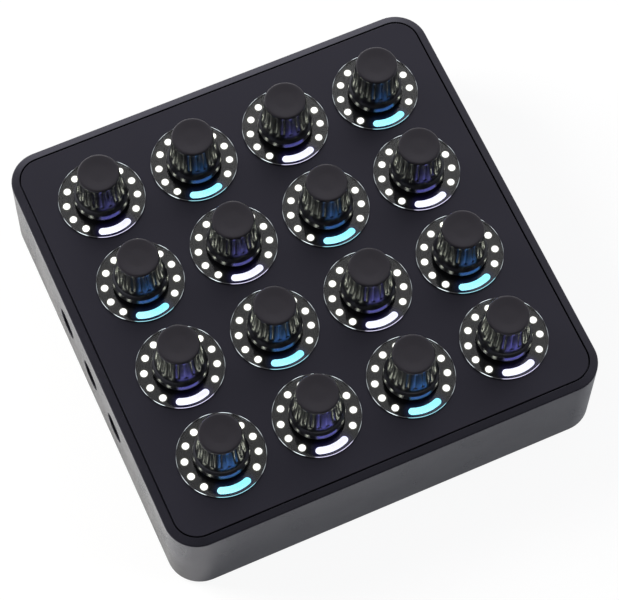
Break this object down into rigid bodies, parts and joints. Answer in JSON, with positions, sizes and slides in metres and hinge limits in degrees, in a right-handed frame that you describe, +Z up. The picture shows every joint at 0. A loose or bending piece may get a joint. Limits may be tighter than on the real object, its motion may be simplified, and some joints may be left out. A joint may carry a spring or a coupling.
{
  "type": "midi controller",
  "caption": "Square desktop MIDI controller: a grid of push encoders, each ringed by lights, with round buttons in both sides and a socket at the back.",
  "frame": {"origin": "centre of the underside, at the level of the feet", "axes": "+Z up through the knobs, -Y the front, +X to the right, -X and +X the sides with the round buttons, +Y the back with the socket"},
  "size_m": [0.1636, 0.1636, 0.0601],
  "materials": {
    "case_plastic": "fine matt black, slightly sheeny at a low angle",
    "plate_coat": "satin black printed sheet",
    "window_acrylic": "clear gloss over a black mask",
    "board_laminate": "dark solder mask",
    "white_led_package": "white ceramic package",
    "colour_led_package": "white package with a clear dome",
    "encoder_metal": "stamped steel and zinc",
    "switch_plastic": "moulded",
    "cover_plastic": "fine matt black",
    "foot_rubber": "matt",
    "screw_steel": "blackened",
    "standoff_brass": "turned",
    "socket_steel": "plated",
    "socket_plastic": "moulded",
    "chip_plastic": "moulded epoxy",
    "header_plastic": "moulded",
    "knob_plastic": "soft black grip with a satin cap",
    "plunger_plastic": "moulded nylon",
    "button_plastic": "satin black"
  },
  "bodies": {
    "controller": {"case_shell": "case_plastic", "faceplate": "plate_coat", "ring_windows": "window_acrylic", "led_board": "board_laminate", "white_leds": "white_led_package", "colour_leds": "colour_led_package", "main_board": "board_laminate", "encoder_housings": "encoder_metal", "side_switches": "switch_plastic", "side_board_left": "board_laminate", "side_board_right": "board_laminate", "bottom_cover": "cover_plastic", "rubber_feet": "foot_rubber", "cover_screws": "screw_steel", "tall_standoffs": "standoff_brass", "middle_standoffs": "standoff_brass", "short_standoffs": "standoff_brass", "usb_shell": "socket_steel", "usb_insert": "socket_plastic", "controller_chip": "chip_plastic", "led_drivers": "chip_plastic", "board_header": "header_plastic"},
    "plunger_01": {"plunger_01": "plunger_plastic"},
    "knob_01": {"knob_01": "knob_plastic"},
    "plunger_02": {"plunger_02": "plunger_plastic"},
    "knob_02": {"knob_02": "knob_plastic"},
    "plunger_03": {"plunger_03": "plunger_plastic"},
    "knob_03": {"knob_03": "knob_plastic"},
    "plunger_04": {"plunger_04": "plunger_plastic"},
    "knob_04": {"knob_04": "knob_plastic"},
    "plunger_05": {"plunger_05": "plunger_plastic"},
    "knob_05": {"knob_05": "knob_plastic"},
    "plunger_06": {"plunger_06": "plunger_plastic"},
    "knob_06": {"knob_06": "knob_plastic"},
    "plunger_07": {"plunger_07": "plunger_plastic"},
    "knob_07": {"knob_07": "knob_plastic"},
    "plunger_08": {"plunger_08": "plunger_plastic"},
    "knob_08": {"knob_08": "knob_plastic"},
    "plunger_09": {"plunger_09": "plunger_plastic"},
    "knob_09": {"knob_09": "knob_plastic"},
    "plunger_10": {"plunger_10": "plunger_plastic"},
    "knob_10": {"knob_10": "knob_plastic"},
    "plunger_11": {"plunger_11": "plunger_plastic"},
    "knob_11": {"knob_11": "knob_plastic"},
    "plunger_12": {"plunger_12": "plunger_plastic"},
    "knob_12": {"knob_12": "knob_plastic"},
    "plunger_13": {"plunger_13": "plunger_plastic"},
    "knob_13": {"knob_13": "knob_plastic"},
    "plunger_14": {"plunger_14": "plunger_plastic"},
    "knob_14": {"knob_14": "knob_plastic"},
    "plunger_15": {"plunger_15": "plunger_plastic"},
    "knob_15": {"knob_15": "knob_plastic"},
    "plunger_16": {"plunger_16": "plunger_plastic"},
    "knob_16": {"knob_16": "knob_plastic"},
    "side_button_left_1": {"side_button_left_1": "button_plastic"},
    "side_button_left_2": {"side_button_left_2": "button_plastic"},
    "side_button_left_3": {"side_button_left_3": "button_plastic"},
    "side_button_right_1": {"side_button_right_1": "button_plastic"},
    "side_button_right_2": {"side_button_right_2": "button_plastic"},
    "side_button_right_3": {"side_button_right_3": "button_plastic"}
  },
  "joints": [
    {"name": "press_01", "type": "slide", "parent": "controller", "child": "plunger_01", "axis": [0, 0, -1], "range_m": [0, 0.0015], "stiffness_N_per_m": 1500, "springref_m": -0.002},
    {"name": "turn_01", "type": "hinge", "parent": "plunger_01", "child": "knob_01", "pos_m": [-0.054, 0.054, 0.0425], "axis": [0, 0, 1], "continuous": true},
    {"name": "press_02", "type": "slide", "parent": "controller", "child": "plunger_02", "axis": [0, 0, -1], "range_m": [0, 0.0015], "stiffness_N_per_m": 1500, "springref_m": -0.002},
    {"name": "turn_02", "type": "hinge", "parent": "plunger_02", "child": "knob_02", "pos_m": [-0.018, 0.054, 0.0425], "axis": [0, 0, 1], "continuous": true},
    {"name": "press_03", "type": "slide", "parent": "controller", "child": "plunger_03", "axis": [0, 0, -1], "range_m": [0, 0.0015], "stiffness_N_per_m": 1500, "springref_m": -0.002},
    {"name": "turn_03", "type": "hinge", "parent": "plunger_03", "child": "knob_03", "pos_m": [0.018, 0.054, 0.0425], "axis": [0, 0, 1], "continuous": true},
    {"name": "press_04", "type": "slide", "parent": "controller", "child": "plunger_04", "axis": [0, 0, -1], "range_m": [0, 0.0015], "stiffness_N_per_m": 1500, "springref_m": -0.002},
    {"name": "turn_04", "type": "hinge", "parent": "plunger_04", "child": "knob_04", "pos_m": [0.054, 0.054, 0.0425], "axis": [0, 0, 1], "continuous": true},
    {"name": "press_05", "type": "slide", "parent": "controller", "child": "plunger_05", "axis": [0, 0, -1], "range_m": [0, 0.0015], "stiffness_N_per_m": 1500, "springref_m": -0.002},
    {"name": "turn_05", "type": "hinge", "parent": "plunger_05", "child": "knob_05", "pos_m": [-0.054, 0.018, 0.0425], "axis": [0, 0, 1], "continuous": true},
    {"name": "press_06", "type": "slide", "parent": "controller", "child": "plunger_06", "axis": [0, 0, -1], "range_m": [0, 0.0015], "stiffness_N_per_m": 1500, "springref_m": -0.002},
    {"name": "turn_06", "type": "hinge", "parent": "plunger_06", "child": "knob_06", "pos_m": [-0.018, 0.018, 0.0425], "axis": [0, 0, 1], "continuous": true},
    {"name": "press_07", "type": "slide", "parent": "controller", "child": "plunger_07", "axis": [0, 0, -1], "range_m": [0, 0.0015], "stiffness_N_per_m": 1500, "springref_m": -0.002},
    {"name": "turn_07", "type": "hinge", "parent": "plunger_07", "child": "knob_07", "pos_m": [0.018, 0.018, 0.0425], "axis": [0, 0, 1], "continuous": true},
    {"name": "press_08", "type": "slide", "parent": "controller", "child": "plunger_08", "axis": [0, 0, -1], "range_m": [0, 0.0015], "stiffness_N_per_m": 1500, "springref_m": -0.002},
    {"name": "turn_08", "type": "hinge", "parent": "plunger_08", "child": "knob_08", "pos_m": [0.054, 0.018, 0.0425], "axis": [0, 0, 1], "continuous": true},
    {"name": "press_09", "type": "slide", "parent": "controller", "child": "plunger_09", "axis": [0, 0, -1], "range_m": [0, 0.0015], "stiffness_N_per_m": 1500, "springref_m": -0.002},
    {"name": "turn_09", "type": "hinge", "parent": "plunger_09", "child": "knob_09", "pos_m": [-0.054, -0.018, 0.0425], "axis": [0, 0, 1], "continuous": true},
    {"name": "press_10", "type": "slide", "parent": "controller", "child": "plunger_10", "axis": [0, 0, -1], "range_m": [0, 0.0015], "stiffness_N_per_m": 1500, "springref_m": -0.002},
    {"name": "turn_10", "type": "hinge", "parent": "plunger_10", "child": "knob_10", "pos_m": [-0.018, -0.018, 0.0425], "axis": [0, 0, 1], "continuous": true},
    {"name": "press_11", "type": "slide", "parent": "controller", "child": "plunger_11", "axis": [0, 0, -1], "range_m": [0, 0.0015], "stiffness_N_per_m": 1500, "springref_m": -0.002},
    {"name": "turn_11", "type": "hinge", "parent": "plunger_11", "child": "knob_11", "pos_m": [0.018, -0.018, 0.0425], "axis": [0, 0, 1], "continuous": true},
    {"name": "press_12", "type": "slide", "parent": "controller", "child": "plunger_12", "axis": [0, 0, -1], "range_m": [0, 0.0015], "stiffness_N_per_m": 1500, "springref_m": -0.002},
    {"name": "turn_12", "type": "hinge", "parent": "plunger_12", "child": "knob_12", "pos_m": [0.054, -0.018, 0.0425], "axis": [0, 0, 1], "continuous": true},
    {"name": "press_13", "type": "slide", "parent": "controller", "child": "plunger_13", "axis": [0, 0, -1], "range_m": [0, 0.0015], "stiffness_N_per_m": 1500, "springref_m": -0.002},
    {"name": "turn_13", "type": "hinge", "parent": "plunger_13", "child": "knob_13", "pos_m": [-0.054, -0.054, 0.0425], "axis": [0, 0, 1], "continuous": true},
    {"name": "press_14", "type": "slide", "parent": "controller", "child": "plunger_14", "axis": [0, 0, -1], "range_m": [0, 0.0015], "stiffness_N_per_m": 1500, "springref_m": -0.002},
    {"name": "turn_14", "type": "hinge", "parent": "plunger_14", "child": "knob_14", "pos_m": [-0.018, -0.054, 0.0425], "axis": [0, 0, 1], "continuous": true},
    {"name": "press_15", "type": "slide", "parent": "controller", "child": "plunger_15", "axis": [0, 0, -1], "range_m": [0, 0.0015], "stiffness_N_per_m": 1500, "springref_m": -0.002},
    {"name": "turn_15", "type": "hinge", "parent": "plunger_15", "child": "knob_15", "pos_m": [0.018, -0.054, 0.0425], "axis": [0, 0, 1], "continuous": true},
    {"name": "press_16", "type": "slide", "parent": "controller", "child": "plunger_16", "axis": [0, 0, -1], "range_m": [0, 0.0015], "stiffness_N_per_m": 1500, "springref_m": -0.002},
    {"name": "turn_16", "type": "hinge", "parent": "plunger_16", "child": "knob_16", "pos_m": [0.054, -0.054, 0.0425], "axis": [0, 0, 1], "continuous": true},
    {"name": "press_left_1", "type": "slide", "parent": "controller", "child": "side_button_left_1", "axis": [1, 0, 0], "range_m": [0, 0.0005], "stiffness_N_per_m": 2000, "springref_m": -0.0005},
    {"name": "press_left_2", "type": "slide", "parent": "controller", "child": "side_button_left_2", "axis": [1, 0, 0], "range_m": [0, 0.0005], "stiffness_N_per_m": 2000, "springref_m": -0.0005},
    {"name": "press_left_3", "type": "slide", "parent": "controller", "child": "side_button_left_3", "axis": [1, 0, 0], "range_m": [0, 0.0005], "stiffness_N_per_m": 2000, "springref_m": -0.0005},
    {"name": "press_right_1", "type": "slide", "parent": "controller", "child": "side_button_right_1", "axis": [-1, 0, 0], "range_m": [0, 0.0005], "stiffness_N_per_m": 2000, "springref_m": -0.0005},
    {"name": "press_right_2", "type": "slide", "parent": "controller", "child": "side_button_right_2", "axis": [-1, 0, 0], "range_m": [0, 0.0005], "stiffness_N_per_m": 2000, "springref_m": -0.0005},
    {"name": "press_right_3", "type": "slide", "parent": "controller", "child": "side_button_right_3", "axis": [-1, 0, 0], "range_m": [0, 0.0005], "stiffness_N_per_m": 2000, "springref_m": -0.0005}
  ]
}
